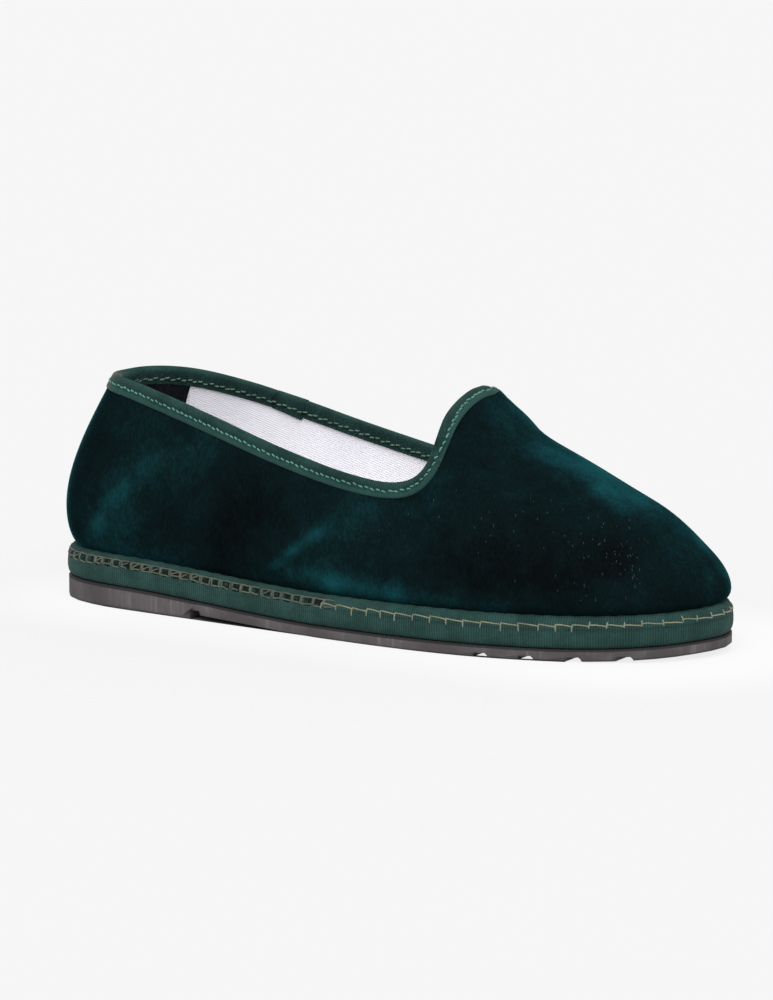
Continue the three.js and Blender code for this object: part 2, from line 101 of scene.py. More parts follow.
class Finish:
    """A material, put together node by node around its shader."""

    def __init__(self, name, **constants):
        self.material = bpy.data.materials.new(name)
        self.material.use_nodes = True
        self.tree = self.material.node_tree
        self.shader = self.tree.nodes["Principled BSDF"]
        for socket, value in constants.items():
            self.shader.inputs[socket.replace("_", " ")].default_value = value

    def add(self, kind, settings, inputs, output=0):
        node = self.tree.nodes.new(kind)
        for name, value in settings.items():
            setattr(node, name, value)
        for name, value in inputs.items():
            self.feed(node.inputs[name], value)
        return Level(self, node.outputs[output])

    def feed(self, socket, value):
        if isinstance(value, Level):
            self.tree.links.new(value.socket, socket)
        else:
            socket.default_value = value

    def math(self, operation, *operands):
        return self.add("ShaderNodeMath", {"operation": operation}, dict(enumerate(operands)))

    def place(self):
        return self.add("ShaderNodeTexCoord", {}, {}, "Object")

    def painted(self, name):
        return self.add("ShaderNodeAttribute", {"attribute_name": name}, {}, "Fac")

    def unrolled(self):
        return self.add("ShaderNodeUVMap", {"uv_map": "unrolled"}, {}, "UV")

    def stretched(self, vector, stretch):
        return self.add("ShaderNodeMapping", {}, {"Vector": vector, "Scale": stretch})

    def noise(self, vector, size, detail=3.0, roughness=0.5):
        inputs = {"Vector": vector, "Scale": 1 / size, "Detail": detail, "Roughness": roughness}
        return self.add("ShaderNodeTexNoise", {}, inputs, "Fac")

    def along(self, vector, part):
        return self.add("ShaderNodeSeparateXYZ", {}, {"Vector": vector}, part)

    def mix(self, share, first, second):
        """The first colour where the share is 0 and the second where it is 1."""
        return self.add("ShaderNodeMix", {"data_type": "RGBA"}, {0: share, 6: first, 7: second}, 2)

    def relief(self, height, depth):
        """Turns a height from 0 to 1 into bumps that are depth metres deep."""
        self.set("Normal", self.add("ShaderNodeBump", {}, {"Height": height, "Distance": depth}, "Normal"))

    def set(self, socket, value):
        self.feed(self.shader.inputs[socket], value)


def screen(red, green, blue):
    """A colour as it reads on a screen, from 0 to 255, turned into light."""
    def light(value):
        share = value / 255
        return share / 12.92 if share <= 0.04045 else ((share + 0.055) / 1.055) ** 2.4
    return (light(red), light(green), light(blue), 1.0)


def select_only(piece):
    bpy.ops.object.select_all(action="DESELECT")
    bpy.context.view_layer.objects.active = piece
    piece.select_set(True)


def edit(piece):
    """Opens a piece in edit mode with nothing selected."""
    select_only(piece)
    bpy.ops.object.mode_set(mode="EDIT")
    bpy.ops.mesh.select_all(action="DESELECT")


def close(piece):
    bpy.ops.object.mode_set(mode="OBJECT")
    piece.select_set(False)


def merged_copy(node, name):
    """A copy of a solid of the frame, with its loose triangles joined up."""
    piece = bpy.data.objects.new(name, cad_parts[node].data.copy())
    piece.data.name = name
    piece.data.materials.clear()
    bpy.context.scene.collection.objects.link(piece)
    edit(piece)
    bpy.ops.mesh.select_all(action="SELECT")
    bpy.ops.mesh.remove_doubles(threshold=MERGE_GAP)
    close(piece)
    return piece


def finish_with(piece, kind, **settings):
    """Adds a modifier and applies it."""
    select_only(piece)
    modifier = piece.modifiers.new(kind.lower(), kind)
    for name, value in settings.items():
        setattr(modifier, name, value)
    bpy.ops.object.modifier_apply(modifier=modifier.name)
    piece.select_set(False)


def bevel(piece, width):
    """Rounds the sharp edges of a piece."""
    finish_with(
        piece, "BEVEL", width=width, segments=2, limit_method="ANGLE", angle_limit=math.radians(BEVEL_ANGLE))


def smooth(piece, angle):
    select_only(piece)
    bpy.ops.object.shade_smooth_by_angle(angle=math.radians(angle))
    piece.select_set(False)


def dress(piece, finish, slot, *replaced):
    """Gives a piece its material and the solids of the frame that it stands for. The slot is not used."""
    piece.data.materials.clear()
    piece.data.materials.append(finish.material)
    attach(piece, "root")
    if replaced:
        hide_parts(*replaced)


RUBBER_EDGE = 0.25 * MM
RUBBER_SCUFF = 2.2 * MM
RUBBER_PATCH = 14 * MM
RUBBER_GRAIN = 0.5 * MM
RUBBER_RELIEF = 0.14 * MM
RUBBER_SHADE = screen(62, 58, 59)
RUBBER_LIGHT = screen(82, 77, 78)
RUBBER_SCUFFED = screen(112, 107, 107)
RUBBER_PAINTED_SHADE = screen(24, 23, 23)


def rubber_finish():
    """Dull rubber. The painted rise is 1 at the top edge of its side and 0 at the bottom edge."""
    rubber = Finish("tyre_rubber", Roughness=0.72, Specular_IOR_Level=0.25)
    place = rubber.place()
    upright = rubber.stretched(place, (1, 1, 0.06))
    scuffs = rubber.noise(upright, RUBBER_SCUFF, 4, 0.7)
    patches = rubber.noise(place, RUBBER_PATCH, 3)
    grain = rubber.noise(place, RUBBER_GRAIN, 2)
    patchy = patches.between(0.35, 0.65)
    worn = rubber.mix(patchy * 0.7 + grain * 0.3, RUBBER_SHADE, RUBBER_LIGHT)
    scuffed = rubber.mix(scuffs.between(0.5, 0.75) * patchy * 0.8, worn, RUBBER_SCUFFED)
    rise = rubber.painted("rise")
    # Painted shade: the top of the side darkens where the band's foot hangs over it, and the bottom where it
    # meets the floor.
    edges = rise.between(0.9, 0.98) * 0.9 + rise.between(0.1, 0.0) * 0.4
    rubber.set("Base Color", rubber.mix(edges, scuffed, RUBBER_PAINTED_SHADE))
    rubber.relief(scuffs * 0.6 + grain * 0.4, RUBBER_RELIEF)
    return rubber


outsole = merged_copy("outsole", "rubber_outsole")
bevel(outsole, RUBBER_EDGE)
smooth(outsole, BEVEL_ANGLE)
dress(outsole, rubber_finish(), "rubber", "outsole")


# Midsole
# Layers of old cotton cloth, quilted together and trimmed to the last. The band hides them all round.
CLOTH_LAYER = 1.6 * MM
CLOTH_FLUFF = 3 * MM
CLOTH_RELIEF = 0.3 * MM
CLOTH_SHADE = screen(186, 178, 160)
CLOTH_LIGHT = screen(214, 207, 190)
SOLE_ANGLE = 40


def cloth_stack_finish():
    stack = Finish("quilted_cotton", Roughness=0.95, Specular_IOR_Level=0.1)
    place = stack.place()
    layers = stack.along(place, "Z").wave(CLOTH_LAYER)
    fluff = stack.noise(place, CLOTH_FLUFF, 4)
    stack.set("Base Color", stack.mix(layers * fluff, CLOTH_SHADE, CLOTH_LIGHT))
    stack.relief(layers * 0.7 + fluff * 0.3, CLOTH_RELIEF)
    return stack


midsole = merged_copy("midsole", "cloth_midsole")
smooth(midsole, SOLE_ANGLE)
dress(midsole, cloth_stack_finish(), "cloth_stack", "midsole")


# Sole band
# A grosgrain tape wrapped round the edge of the stack and turned in under the upper. Its ribs stand
# upright, and its top edge puckers a little where the stitches pull it.
RIB_PITCH = 0.95 * MM
SOLE_STITCH = 6.7 * MM
BAND_PUCKER = 0.12 * MM
PUCKER_FACING = (0.2, 0.7)
BAND_FOOT = 1.6 * MM
CREST_STEP = 4 * MM
CREST_OVER_SHOULDER = 1.4 * MM
CLOSE_STITCH_TO = 98 * MM
CLOSE_STITCHES = 130
CLOSE_LINE = -0.5 * MM
CLOSE_LOW = 3.2 * MM
CELL_OPENS = (0.12, 0.3)
CELL_CLOSES = (0.95, 0.75)
CELL_SOFTNESS = 0.7 * MM
CELL_DARKNESS = 1.4
SOLE_LINE = 2.3 * MM
LINE_SHADE_IN = 0.6 * MM
LINE_SHADE_OUT = (1.8 * MM, 0.8 * MM)
LINE_DARKNESS = 0.35
CUTS = 3
TAPE_EVENED = 2
SOFT_ANGLE = 60
TAPE_WEAVE = 0.3 * MM
TAPE_THREADS = 1.1 * MM
TAPE_PATCH = 9 * MM
TAPE_RELIEF = 0.2 * MM
SELVEDGE_STEP = (-0.3 * MM, 0.1 * MM)
BAND_SHADE = screen(34, 60, 56)
BAND_LIGHT = screen(46, 75, 71)
TAPE_SHEEN = screen(150, 190, 180)
TAPE_FURROW_SHADE = screen(12, 24, 24)
TAPE_PAINTED_SHADE = screen(12, 20, 19)
TAPE_WORN = screen(96, 88, 88)


def corners_of(piece):
    spots = np.zeros(len(piece.data.vertices) * 3)
    piece.data.vertices.foreach_get("co", spots)
    return spots.reshape(-1, 3)


def normals_of(piece):
    directions = np.zeros(len(piece.data.vertices) * 3)
    piece.data.vertices.foreach_get("normal", directions)
    return directions.reshape(-1, 3)


def move_to(piece, spots):
    piece.data.vertices.foreach_set("co", np.ascontiguousarray(spots).ravel())
    piece.data.update()


def finer(piece, cuts, evened):
    """Cuts each face into smaller ones, follows the curve of the piece and evens it out inside its edges."""
    edit(piece)
    bpy.ops.mesh.select_all(action="SELECT")
    bpy.ops.mesh.subdivide(number_cuts=cuts, smoothness=1.0)
    bpy.ops.mesh.select_all(action="DESELECT")
    bpy.ops.mesh.select_non_manifold()
    bpy.ops.mesh.select_all(action="INVERT")
    bpy.ops.mesh.vertices_smooth(factor=0.5, repeat=evened)
    close(piece)


class String:
    """A thread laid once round the shoe, which measures how far round a place lies."""

    def __init__(self, ring):
        start = int(np.argmin(ring[:, 0]))
        ring = np.roll(ring, -start, axis=0)
        turn = np.cross(ring[:, :2], np.roll(ring[:, :2], -1, axis=0)).sum()
        if turn < 0:
            ring = np.roll(ring[::-1], 1, axis=0)
        self.knots = np.vstack([ring, ring[:1]])
        steps = np.linalg.norm(np.diff(self.knots, axis=0), axis=1)
        self.reach = np.concatenate([[0], np.cumsum(steps)])
        self.length = self.reach[-1]

    def place(self, distance):
        turn = distance % self.length
        return np.array([np.interp(turn, self.reach, self.knots[:, k]) for k in range(self.knots.shape[1])])

    def measure(self, spots):
        """How far round the nearest place on the string lies, and how far off it the spot is."""
        off = np.full(len(spots), np.inf)
        along = np.zeros(len(spots))
        for knot, following, so_far in zip(self.knots[:-1], self.knots[1:], self.reach[:-1]):
            span = following - knot
            length = max(np.linalg.norm(span), 1e-9)
            share = np.clip((spots - knot) @ span / length ** 2, 0, 1)
            gap = np.linalg.norm(spots - (knot + share[:, None] * span), axis=1)
            closer = gap < off
            off[closer] = gap[closer]
            along[closer] = so_far + share[closer] * length
        return along, off


def unroll(piece, along, across, length):
    """Keeps the way along and across a tape as a UV map in metres, cut once at the back of the heel."""
    layer = piece.data.uv_layers.new(name="unrolled")
    for face in piece.data.polygons:
        turns = [along[v] for v in face.vertices]
        wraps = max(turns) - min(turns) > length / 2
        for corner, v, turn in zip(face.loop_indices, face.vertices, turns):
            shown = turn + length if wraps and turn < length / 2 else turn
            layer.data[corner].uv = (shown, across[v])


def paint(piece, name, values):
    """Keeps a value at each corner of a piece, for its material to read."""
    layer = piece.data.attributes.new(name, "FLOAT", "POINT")
    layer.data.foreach_set("value", np.asarray(values, dtype=np.float32))


def surface_of(piece):
    return BVHTree.FromObject(piece, bpy.context.evaluated_depsgraph_get())


def tape_finish(name, shade, light, ribs_round, length, selvedge, painted_shade_at):
    """Grosgrain, with that many ribs round the shoe and a thicker selvedge beyond that distance across.
    The function given for painted shade works out from the unrolled place how much shade is painted under and
    between the stitches."""
    tape = Finish(name, Roughness=0.9, Specular_IOR_Level=0.08, Sheen_Weight=0.1, Sheen_Roughness=0.4)
    tape.set("Sheen Tint", TAPE_SHEEN)
    place = tape.place()
    flat = tape.unrolled()
    along, across = tape.along(flat, "X"), tape.along(flat, "Y")
    ribs = along.wave(length / ribs_round)
    edge = across.between(*(selvedge + step for step in SELVEDGE_STEP))
    weave = tape.noise(place, TAPE_WEAVE, 2)
    patches = tape.noise(place, TAPE_PATCH, 4)
    threads = tape.noise(place, TAPE_THREADS, 2)
    tone = tape.mix((patches * 0.7 + threads * 0.3).between(0.36, 0.64), shade, light)
    # Painted shade in the grooves between the ribs.
    furrow_shade = tape.mix(0.6, tone, TAPE_FURROW_SHADE)
    ribbed = tape.mix(ribs.between(0.05, 0.7) * 0.7 + weave * 0.3, furrow_shade, tone)
    dark = painted_shade_at(along, across) * threads.between(0.25, 0.6)
    worn = tape.mix(tape.painted("worn"), tape.mix(edge * 0.5, ribbed, light), TAPE_WORN)
    # Painted shade under and between the stitches, on the inner side of the tape and at the lap's edge, all
    # towards one dark colour.
    tape.set("Base Color", tape.mix(dark + tape.painted("shaded"), worn, TAPE_PAINTED_SHADE))
    tape.relief(ribs * 0.6 + weave * 0.3 + edge * 0.8, TAPE_RELIEF)
    return tape


def band_painted_shade(along, across):
    """Painted shade in the hollows between the close stitches at the heel, and a faint painted shadow line
    under the others.
    """
    cell = along.finish.math("FRACT", along * (CLOSE_STITCHES / sole_string.length))
    upper_edge = across.between(CLOSE_LINE, CLOSE_LINE + CELL_SOFTNESS)
    lower_edge = across.between(CLOSE_LOW, CLOSE_LOW - CELL_SOFTNESS)
    hollow = cell.between(*CELL_OPENS) * cell.between(*CELL_CLOSES) * upper_edge * lower_edge
    line = across.between(SOLE_LINE, SOLE_LINE + LINE_SHADE_IN)
    line *= across.between(*(SOLE_LINE + down for down in LINE_SHADE_OUT))
    close = across.finish.painted("close")
    return hollow * close * CELL_DARKNESS + line * (1 - close) * LINE_DARKNESS


def crest_over(around, heights):
    """How high the top of the band is where each corner lies, taken over short stretches."""
    stretches = [round(turn / CREST_STEP) for turn in around]
    crests = {}
    for stretch, height in zip(stretches, heights):
        crests[stretch] = max(crests.get(stretch, 0), height)
    return np.array([crests[stretch] for stretch in stretches])


band = merged_copy("sole_band", "sole_tape")
flat_ring = [Vector(spot[:2]) for spot in corners_of(band)]
sole_string = String(np.array([flat_ring[i][:] for i in convex_hull_2d(flat_ring)]))
finer(band, CUTS, TAPE_EVENED)
spots = corners_of(band)
around, _ = sole_string.measure(spots[:, :2])
low, high = PUCKER_FACING
upper_half = np.clip((normals_of(band)[:, 2] - low) / (high - low), 0, 1)
spots[:, 2] += BAND_PUCKER * upper_half * np.cos(around * 2 * math.pi / SOLE_STITCH)
move_to(band, spots)
down = crest_over(around, spots[:, 2]) - spots[:, 2] - CREST_OVER_SHOULDER
unroll(band, around, down, sole_string.length)
paint(band, "close", spots[:, 0] < CLOSE_STITCH_TO)
smooth(band, SOFT_ANGLE)
band_ribs = round(sole_string.length / RIB_PITCH)
sole_grosgrain = tape_finish(
    "sole_grosgrain", BAND_SHADE, BAND_LIGHT, band_ribs, sole_string.length, 1.0, band_painted_shade)
dress(band, sole_grosgrain, "sole_tape", "sole_band")
band_skin = surface_of(band)
# Marks the top edge of the rubber's side under the band's foot, for its painted shade.
under_band = [band_skin.find_nearest(corner.co, BAND_FOOT)[0] is not None for corner in outsole.data.vertices]
paint(outsole, "rise", under_band)


# Upper
# One piece of cotton velvet, closed at the back, drawn over the last and stitched down to the sole. Its
# crushed pile is nearly black where it leans one way and teal where it leans the other, and painted sheen
# and highlights lighten it along the crest, the toe and the folds.
VELVET_THICKNESS = 0.9 * MM
PILE_HEIGHT = 0.6 * MM
PILE_FROM = 4 * MM
PILE_FULL = 5.6 * MM
PILE_CLOUD = 22 * MM
PILE_MOTTLE = 6 * MM
PILE_ROW = 0.8 * MM
PILE_RELIEF = 0.35 * MM
PILE_SHEEN = screen(62, 170, 176)
PILE_REST = 0.27
PILE_TONES = screen(7, 10, 11), screen(10, 24, 26), screen(18, 67, 72)
UPPER_EVENED = 8
INSTEP_HEIGHT = 24 * MM
INSTEP_FROM = 5 * MM
INSTEP_TO = 175 * MM
STRIP_FROM = 7 * MM
STRIP_TO = 11 * MM
FOLDS = [
    {"start": (144, -10, 82), "end": (144, 10, 82), "width": 5, "height": 0.5},
    {"start": (68, -39, 24), "end": (106, -39, 49), "width": 4.5, "height": 0.9},
    {"start": (77, -40, 21), "end": (112, -40, 43), "width": 5, "height": -0.9},
    {"start": (85, -41, 17), "end": (86, -41, 29), "width": 2.6, "height": -0.7},
    {"start": (-8, -31, 34), "end": (16, -32, 58), "width": 7, "height": -0.6},
    {"start": (-1, -31, 29), "end": (25, -32, 54), "width": 6, "height": 0.5},
    {"start": (124, -39, 46), "end": (150, -44, 26), "width": 9, "height": -0.7},
    {"start": (139, -36, 55), "end": (172, -40, 30), "width": 9, "height": 0.4},
    {"start": (72, 38, 24), "end": (104, 37, 46), "width": 6, "height": 0.8},
    {"start": (80, 39, 20), "end": (112, 38, 40), "width": 6, "height": -0.8},
]
# Rows of light and dark on the pile: partly where the crushed pile leans, partly painted sheen and highlights
# along the crest, the toe and the folds.
NAP_AND_SHEEN = [
    {"start": (-8, -30, 25), "end": (-8, -30, 31), "width": 5, "light": 0.16},
    {"start": (-8, -30, 31), "end": (5, -33, 46), "width": 4, "light": 0.19},
    {"start": (5, -33, 46), "end": (16, -32, 55), "width": 7, "light": 0.1},
    {"start": (0, -30, 28), "end": (14, -33, 36), "width": 8, "light": 0.14},
    {"start": (77, -40, 49), "end": (80, -41, 40), "width": 7, "light": -0.12},
    {"start": (16, -32, 55), "end": (38, -33, 61), "width": 9, "light": 0.12},
    {"start": (-20, -20, 20), "end": (30, -34, 20), "width": 6, "light": 0.17},
    {"start": (52, -36, 26), "end": (62, -38, 42), "width": 12, "light": -0.2},
    {"start": (-16, -26, 45), "end": (-10, -26, 62), "width": 8, "light": -0.08},
    {"start": (74, -39, 24), "end": (84, -41, 31), "width": 2, "light": 0.2},
    {"start": (84, -41, 31), "end": (95, -41, 38), "width": 2.6, "light": 0.24},
    {"start": (95, -41, 38), "end": (117, -38, 48), "width": 5, "light": 0.12},
    {"start": (84, -41, 26), "end": (118, -41, 36), "width": 9, "light": 0.08},
    {"start": (20, -36, 26), "end": (60, -36, 52), "width": 14, "light": -0.06},
    {"start": (150, -26, 66), "end": (190, -28, 46), "width": 12, "light": 0.03},
    {"start": (150, 6, 80), "end": (200, 10, 55), "width": 5, "light": 0.2},
    {"start": (82, -40, 22), "end": (101, -42, 21), "width": 4.5, "light": 0.22},
    {"start": (101, -42, 21), "end": (128, -44, 19), "width": 5, "light": 0.27},
    {"start": (128, -44, 19), "end": (171, -42, 19), "width": 4, "light": 0.2},
    {"start": (84, -41, 17), "end": (85, -41, 27), "width": 2, "light": -0.2},
    {"start": (116, -36, 50), "end": (138, -35, 53), "width": 12, "light": 0.05},
    {"start": (147, -43, 33), "end": (193, -35, 29), "width": 13, "light": -0.2},
    {"start": (142, -20, 76), "end": (147, -24, 68), "width": 9, "light": -0.12},
    {"start": (143, -4, 85), "end": (165, -10, 67), "width": 8, "light": 0.12},
    {"start": (165, -2, 70), "end": (186, 2, 60), "width": 7, "light": 0.2},
    {"start": (178, 6, 62), "end": (200, 2, 52), "width": 7, "light": 0.24},
    {"start": (172, -6, 64), "end": (190, -5, 57), "width": 6, "light": 0.18},
    {"start": (190, -7, 55), "end": (200, -8, 50), "width": 5, "light": 0.22},
    {"start": (200, 2, 52), "end": (220, 9, 38), "width": 6, "light": 0.24},
    {"start": (222, 10, 38), "end": (232, 13, 22), "width": 5, "light": 0.2},
    {"start": (208, -3, 44), "end": (226, 0, 26), "width": 5, "light": 0.14},
    {"start": (-14, -22, 30), "end": (-15, -22, 40), "width": 5, "light": 0.12},
    {"start": (178, -26, 48), "end": (205, -24, 36), "width": 10, "light": -0.13},
    {"start": (205, -24, 34), "end": (222, -14, 22), "width": 9, "light": -0.1},
    {"start": (74, 36, 24), "end": (116, 36, 46), "width": 5, "light": 0.2},
    {"start": (60, 38, 20), "end": (170, 40, 20), "width": 5, "light": 0.16},
    {"start": (-6, 28, 30), "end": (30, 32, 58), "width": 8, "light": 0.2},
]


def inner_faces(piece):
    """The faces of the upper that look into the shoe."""
    for face in piece.data.polygons:
        axis = Vector((min(max(face.center.x, INSTEP_FROM), INSTEP_TO), 0, INSTEP_HEIGHT))
        yield face, face.normal.dot(face.center - axis) < 0


def one_wall(name, is_lining):
    """The outer or the inner skin of the upper's solid, as an open sheet."""
    wall = merged_copy("upper", name)
    edit(wall)
    bpy.ops.mesh.select_mode(type="FACE")
    bpy.ops.object.mode_set(mode="OBJECT")
    for face, is_inner in inner_faces(wall):
        face.select = is_inner != is_lining
    bpy.ops.object.mode_set(mode="EDIT")
    bpy.ops.mesh.delete(type="FACE")
    bpy.ops.mesh.select_mode(type="VERT")
    close(wall)
    return wall


def stroke_share(spots, start, end, width):
    """How much of a soft stroke, from 0 to 1, reaches each spot."""
    start = np.array(start) * MM
    span = np.array(end) * MM - start
    share = np.clip((spots - start) @ span / (span @ span), 0, 1)
    off = np.linalg.norm(spots - (start + share[:, None] * span), axis=1)
    return np.exp(-(off / (width * MM)) ** 2)


def strokes(spots, rows, column):
    """What all the rows of a table add up to at each spot, each by its value in this column."""
    return sum(row[column] * stroke_share(spots, row["start"], row["end"], row["width"]) for row in rows)


def folded(piece, out):
    """Presses the folds into a skin of the upper. Out is 1 where its faces look outwards and else -1."""
    spots = corners_of(piece)
    outward = out * normals_of(piece)
    rise = MM * strokes(spots, FOLDS, "height")
    move_to(piece, spots + rise[:, None] * outward)


def velvet_finish(name, rest, dark, middle, light):
    """Cotton velvet. The painted attribute and the rest say how far each spot lies towards the light tone:
    partly the pile's real lean, partly painted sheen and highlights.
    """
    pile = Finish(name, Roughness=1.0, Specular_IOR_Level=0.0, Sheen_Weight=0.34, Sheen_Roughness=0.2)
    pile.set("Sheen Tint", PILE_SHEEN)
    place = pile.place()
    clouds = pile.noise(place, PILE_CLOUD, 3, 0.55)
    mottle = pile.noise(place, PILE_MOTTLE, 6, 0.75)
    rows = pile.noise(pile.stretched(place, (1, 1, 0.4)), PILE_ROW, 3, 0.6)
    nap_and_sheen_level = pile.painted("nap_and_sheen") + rest + (clouds - 0.5) * 0.4 + (mottle - 0.5) * 0.5 + (rows - 0.5) * 0.45
    shade = pile.mix(nap_and_sheen_level.between(-0.1, 0.42), dark, middle)
    pile.set("Base Color", pile.mix(nap_and_sheen_level.between(0.26, 1.0), shade, light))
    pile.relief(rows * 0.3 + mottle * 0.7, PILE_RELIEF)
    return pile


velvet = one_wall("velvet_upper", False)
finer(velvet, CUTS, UPPER_EVENED)
folded(velvet, 1)
edit(velvet)
bpy.ops.mesh.select_non_manifold()
close(velvet)
edge_spots = {corner.index: corner.co for corner in velvet.data.vertices if corner.select}
links = {}
for edge in velvet.data.edges:
    one, other = edge.vertices
    if edge.select:
        links.setdefault(one, []).append(other)
        links.setdefault(other, []).append(one)


def walk_round(first):
    """The corners of the open edge that holds this corner, in order."""
    ring = [first]
    before, here = None, first
    while True:
        onward = [corner for corner in links[here] if corner != before]
        before, here = here, onward[0]
        if here == first:
            return ring
        ring.append(here)


highest = max(edge_spots, key=lambda corner: edge_spots[corner].z)
rim_string = String(np.array([edge_spots[corner][:] for corner in walk_round(highest)]))
spots = corners_of(velvet)
around, below = rim_string.measure(spots)
bare = np.clip((below - PILE_FROM) / (PILE_FULL - PILE_FROM), 0, 1)
move_to(velvet, spots + (PILE_HEIGHT * bare)[:, None] * normals_of(velvet))
in_strip = np.flatnonzero((below > STRIP_FROM) & (below < STRIP_TO))
in_strip = in_strip[np.argsort(around[in_strip])]
strip_around = around[in_strip]
strip_away = spots[in_strip] - np.array([rim_string.place(turn) for turn in strip_around])
# Painted sheen and highlights, with the pile's lean, summed from the rows above.
paint(velvet, "nap_and_sheen", strokes(spots, NAP_AND_SHEEN, "light"))
finish_with(velvet, "SOLIDIFY", thickness=VELVET_THICKNESS, offset=-1)
smooth(velvet, SOFT_ANGLE)
dress(velvet, velvet_finish("crushed_velvet", PILE_REST, *PILE_TONES), "velvet", "upper")


# Lining
# White cotton twill, pasted to the back of the velvet. Inside the heel a patch of dark velvet is sewn
# over it, so that the heel doesn't slip.
LINING_THICKNESS = 0.8 * MM
GRIP_THICKNESS = 0.6 * MM
GRIP_TOP = (-0.5 * MM, 0, 75 * MM)
GRIP_SLANT = 0.45
GRIP_REST = 0.2
GRIP_TONES = screen(16, 17, 20), screen(28, 30, 34), screen(46, 50, 54)
TWILL_LINE = 0.9 * MM
TWILL_SLANT = 0.35
TWILL_FIBRE = 0.4 * MM
TWILL_PATCH = 18 * MM
TWILL_RELIEF = 0.15 * MM
TWILL_SHADE = screen(234, 233, 239)
TWILL_LIGHT = screen(250, 249, 252)
TWILL_LILAC = screen(226, 223, 232)


def twill_finish(name, rising):
    """White cotton with fine slanting lines that follow each other along the named axis."""
    twill = Finish(name, Roughness=0.9, Specular_IOR_Level=0.1)
    place = twill.place()
    lines = (twill.along(place, "X") * TWILL_SLANT + twill.along(place, rising)).wave(TWILL_LINE)
    fibre = twill.noise(place, TWILL_FIBRE, 3)
    patches = twill.noise(place, TWILL_PATCH, 2)
    woven = lines * 0.6 + fibre * 0.4
    cloth = twill.mix(woven, TWILL_SHADE, TWILL_LIGHT)
    twill.set("Base Color", twill.mix(patches.between(0.4, 0.7) * 0.3, cloth, TWILL_LILAC))
    twill.relief(woven, TWILL_RELIEF)
    return twill


def own_copy(piece, name):
    """A second piece with a mesh of its own."""
    copied = piece.copy()
    copied.data = piece.data.copy()
    copied.name = name
    copied.data.name = name
    bpy.context.scene.collection.objects.link(copied)
    return copied


lining = one_wall("twill_lining", True)
finer(lining, CUTS, UPPER_EVENED)
folded(lining, -1)
grip = own_copy(lining, "heel_grip")
finish_with(lining, "SOLIDIFY", thickness=LINING_THICKNESS, offset=-1)
smooth(lining, SOFT_ANGLE)
dress(lining, twill_finish("white_twill", "Z"), "lining")

edit(grip)
bpy.ops.mesh.select_all(action="SELECT")
bpy.ops.mesh.bisect(plane_co=GRIP_TOP, plane_no=(1, 0, -GRIP_SLANT), clear_outer=True)
close(grip)
finish_with(grip, "SOLIDIFY", thickness=GRIP_THICKNESS, offset=1)
smooth(grip, SOFT_ANGLE)
dress(grip, velvet_finish("grip_velvet", GRIP_REST, *GRIP_TONES), "velvet")


# Collar binding
# A narrow grosgrain tape folded over the edge of the opening, with its ends lapped on the inner side.
TAPE_RIB = 0.7 * MM
TAPE_WIDTH = 5.4 * MM
SELVEDGE_WIDTH = 0.5 * MM
TAPE_SHADE = screen(26, 52, 49)
TAPE_LIGHT = screen(40, 71, 66)
STRIPE_FROM = 2.9 * MM
STRIPE_TO = 4.3 * MM
STRIPE_SOFTNESS = 0.6 * MM
STRIPE_DARKNESS = 0.5
INSIDE_SHADE = 0.3
WORN_AT = 12 * MM
WORN_REACH = 4.5 * MM
WORN_SHARE = 0.6
LAP_FROM = 343 * MM
LAP_TO = 358 * MM
LAP_LIFT = (0.06 * MM, 0.3 * MM)
LAP_HANG = 0.9 * MM
LAP_HANG_FROM = 0.7 * TAPE_WIDTH
LAP_SHADE = 0.6
LAP_SHADE_REACH = 2.5 * MM


def collar_painted_shade(along, across):
    """A stripe of painted shade under the stitches, the same all the way along."""
    upper_edge = across.between(STRIPE_FROM, STRIPE_FROM + STRIPE_SOFTNESS)
    return upper_edge * across.between(STRIPE_TO, STRIPE_TO - STRIPE_SOFTNESS) * STRIPE_DARKNESS


def bell(distances, middle, reach):
    """1 at the middle of a stretch of the rim, falling off softly to both sides."""
    return np.exp(-((distances - middle) / reach) ** 2)


binding = merged_copy("collar_binding", "collar_tape")
finer(binding, CUTS, TAPE_EVENED)
spots = corners_of(binding)
around, below = rim_string.measure(spots)
unroll(binding, around, below, rim_string.length)
looking_in = np.clip(-normals_of(binding)[:, 1] * np.sign(spots[:, 1]), 0, 1)
paint(binding, "worn", WORN_SHARE * bell(around, WORN_AT, WORN_REACH) * (1 - looking_in))
tape_ribs = round(rim_string.length / TAPE_RIB)
collar_grosgrain = tape_finish("collar_grosgrain", TAPE_SHADE, TAPE_LIGHT, tape_ribs, rim_string.length,
                               TAPE_WIDTH - SELVEDGE_WIDTH, collar_painted_shade)

lap = own_copy(binding, "tape_lap")
in_lap = (around > LAP_FROM) & (around < LAP_TO)
loose = np.clip((LAP_TO - around) / (LAP_TO - LAP_FROM), 0, 1)
low, high = LAP_LIFT
spots += (low + (high - low) * loose)[:, None] * normals_of(lap)
spots[:, 2] -= LAP_HANG * loose * np.clip((below - LAP_HANG_FROM) / (TAPE_WIDTH - LAP_HANG_FROM), 0, 1)
move_to(lap, spots)
paint(binding, "shaded", INSIDE_SHADE * looking_in)
paint(lap, "shaded", INSIDE_SHADE * looking_in + LAP_SHADE * bell(around, LAP_TO, LAP_SHADE_REACH))
edit(lap)
bpy.ops.object.mode_set(mode="OBJECT")
for corner, is_kept in zip(lap.data.vertices, in_lap):
    corner.select = not is_kept
bpy.ops.object.mode_set(mode="EDIT")
bpy.ops.mesh.delete(type="VERT")
bpy.ops.mesh.select_all(action="SELECT")
bpy.ops.mesh.fill_holes(sides=0)
close(lap)
smooth(lap, SOFT_ANGLE)
dress(lap, collar_grosgrain, "collar_tape")
smooth(binding, SOFT_ANGLE)
dress(binding, collar_grosgrain, "collar_tape", "collar_binding")


